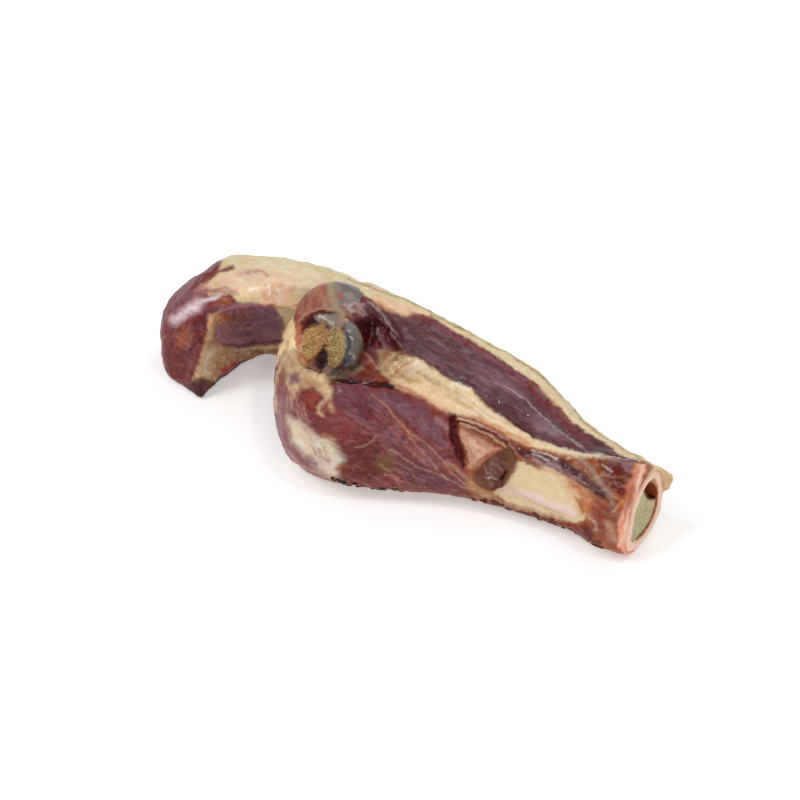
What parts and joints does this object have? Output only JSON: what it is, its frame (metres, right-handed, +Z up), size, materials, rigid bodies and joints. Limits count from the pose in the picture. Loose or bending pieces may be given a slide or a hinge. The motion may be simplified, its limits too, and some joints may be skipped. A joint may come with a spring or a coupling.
{
  "type": "serrano ham bone",
  "caption": "Carved shank of a dry-cured ham: dark cured meat and fat around the shin bone, with its knuckle bare and its far end sawn through.",
  "frame": {"origin": "centre of the bounding box in plan, at the ground the shank lies on", "axes": "+X along the shank from the hooked flap towards the sawn end, +Y away from the carved side, +Z up"},
  "size_m": [0.2725, 0.0912, 0.0735],
  "materials": {
    "cured_meat": "moist cured meat with fat and rind",
    "shin_bone": "greasy bone with shreds of meat",
    "bone_marrow": "waxy marrow"
  },
  "bodies": {
    "root": {"meat": "cured_meat", "bone": "shin_bone", "marrow": "bone_marrow"}
  },
  "joints": []
}
